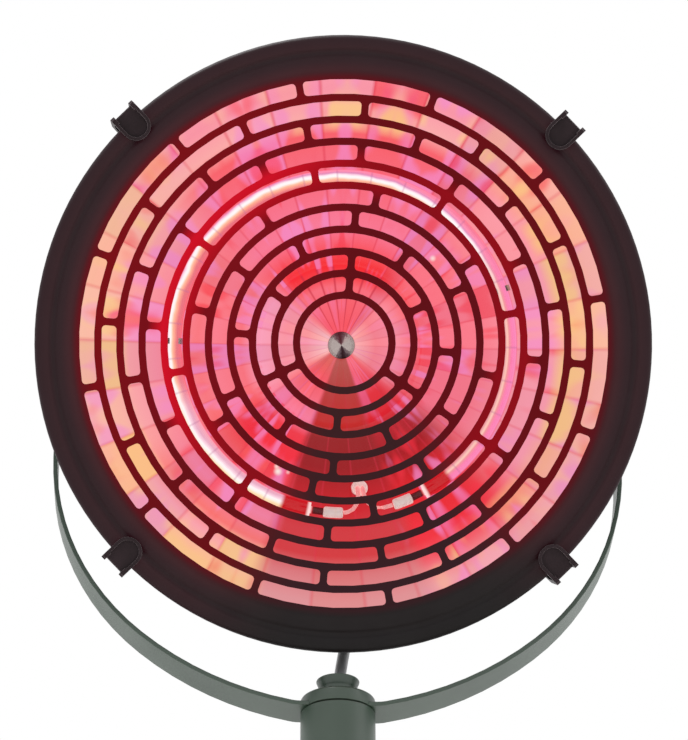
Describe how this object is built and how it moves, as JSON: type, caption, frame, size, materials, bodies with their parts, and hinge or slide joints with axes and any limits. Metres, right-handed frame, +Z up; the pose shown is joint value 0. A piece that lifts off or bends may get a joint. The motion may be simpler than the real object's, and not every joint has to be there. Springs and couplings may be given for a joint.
{
  "type": "standing patio heater",
  "caption": "Round infrared heater head with a slotted grille, in a tilting flat-strip yoke on a two-piece pole with a round base.",
  "frame": {"origin": "floor, on the pole's axis, at the centre of the base's underside", "axes": "+Z up the pole, the head faces -Y, +X is the viewer's right in front of the heater"},
  "size_m": [0.4799, 0.48, 2.0392],
  "materials": {
    "green_paint": "semi-gloss powder coat",
    "black_paint": "satin powder coat",
    "black_plastic": "fine-textured moulding",
    "black_rubber": "matte",
    "zinc_steel": "zinc plated",
    "reflector_metal": "bright rolled and pleated",
    "quartz": "clear quartz",
    "filament": "glowing",
    "white_ceramic": "unglazed",
    "pink_sleeve": "woven silicone-glass sleeve",
    "white_nylon": "plain moulding",
    "grey_plastic": "plain moulding",
    "red_wire": "insulated"
  },
  "bodies": {
    "stand": {"base_plate": "green_paint", "foot_ring": "black_rubber", "base_spigot": "zinc_steel", "base_bolt": "zinc_steel", "base_washer": "zinc_steel", "base_collar": "green_paint", "base_screws": "zinc_steel", "pole_lower": "green_paint", "pole_sleeve": "zinc_steel", "pole_upper": "green_paint", "joint_screws": "zinc_steel", "pole_plug": "zinc_steel", "mains_gland": "black_plastic", "pole_cable": "black_rubber", "swivel_washer": "white_nylon", "swivel_nut": "zinc_steel"},
    "yoke": {"yoke_strip": "green_paint", "yoke_cap": "green_paint", "cable_funnel": "green_paint", "head_flex": "black_rubber", "arm_washers": "zinc_steel"},
    "head": {"front_grille": "black_paint", "rear_shell": "black_paint", "pivot_brackets": "black_paint", "rear_housing": "black_paint", "housing_cover": "black_paint", "latch_lugs": "black_paint", "head_gland": "black_plastic", "switch_frame": "black_plastic", "cone_stud": "zinc_steel", "reflector_screws": "zinc_steel", "lamp_clips": "zinc_steel", "heat_shield": "zinc_steel", "shield_spacers": "zinc_steel", "bracket_screws": "zinc_steel", "pivot_nuts": "zinc_steel", "cover_screws": "zinc_steel", "latch_pins": "zinc_steel", "reflector_dish": "reflector_metal", "reflector_cone": "reflector_metal", "cone_cap": "reflector_metal", "lamp_tube": "quartz", "lamp_filament": "filament", "lamp_end_caps": "white_ceramic", "lead_bush": "white_ceramic", "terminal_block": "white_ceramic", "lamp_leads": "pink_sleeve", "pivot_spacers": "white_nylon", "tip_switch": "grey_plastic", "inner_wires": "red_wire"},
    "clamp_left": {"tilt_bolt_left": "zinc_steel", "tilt_knob_left": "black_plastic"},
    "clamp_right": {"tilt_bolt_right": "zinc_steel", "tilt_knob_right": "black_plastic"},
    "rocker": {"power_rocker": "black_plastic"},
    "latch_1": {"grille_latch_1": "black_paint"},
    "latch_2": {"grille_latch_2": "black_paint"},
    "latch_3": {"grille_latch_3": "black_paint"},
    "latch_4": {"grille_latch_4": "black_paint"}
  },
  "joints": [
    {"name": "yoke_swivel", "type": "hinge", "parent": "stand", "child": "yoke", "pos_m": [0, 0, 1.61], "axis": [0, 0, 1], "range_deg": [-45, 45]},
    {"name": "head_tilt", "type": "hinge", "parent": "yoke", "child": "head", "pos_m": [0, 0, 1.9], "axis": [1, 0, 0], "range_deg": [-28.5, 1.5], "deforming": ["head_flex"]},
    {"name": "tilt_knob_turn_left", "type": "hinge", "parent": "head", "child": "clamp_left", "pos_m": [-0.2, 0, 1.9], "axis": [-1, 0, 0], "continuous": true},
    {"name": "tilt_knob_turn_right", "type": "hinge", "parent": "head", "child": "clamp_right", "pos_m": [0.2, 0, 1.9], "axis": [1, 0, 0], "continuous": true},
    {"name": "power_rocker_tip", "type": "hinge", "parent": "head", "child": "rocker", "pos_m": [0.063, 0.00088, 1.90048], "axis": [0, -0.4772, 0.8788], "range_deg": [-18, 0]},
    {"name": "grille_latch_1_swing", "type": "hinge", "parent": "head", "child": "latch_1", "pos_m": [0.14743, -0.14593, 1.98853], "axis": [-0.7071, -0.3374, 0.6214], "range_deg": [0, 22]},
    {"name": "grille_latch_2_swing", "type": "hinge", "parent": "head", "child": "latch_2", "pos_m": [-0.14743, -0.14593, 1.98853], "axis": [-0.7071, 0.3374, -0.6214], "range_deg": [0, 22]},
    {"name": "grille_latch_3_swing", "type": "hinge", "parent": "head", "child": "latch_3", "pos_m": [-0.14743, -0.00523, 1.7294], "axis": [0.7071, 0.3374, -0.6214], "range_deg": [0, 22]},
    {"name": "grille_latch_4_swing", "type": "hinge", "parent": "head", "child": "latch_4", "pos_m": [0.14743, -0.00523, 1.7294], "axis": [0.7071, -0.3374, 0.6214], "range_deg": [0, 22]}
  ]
}
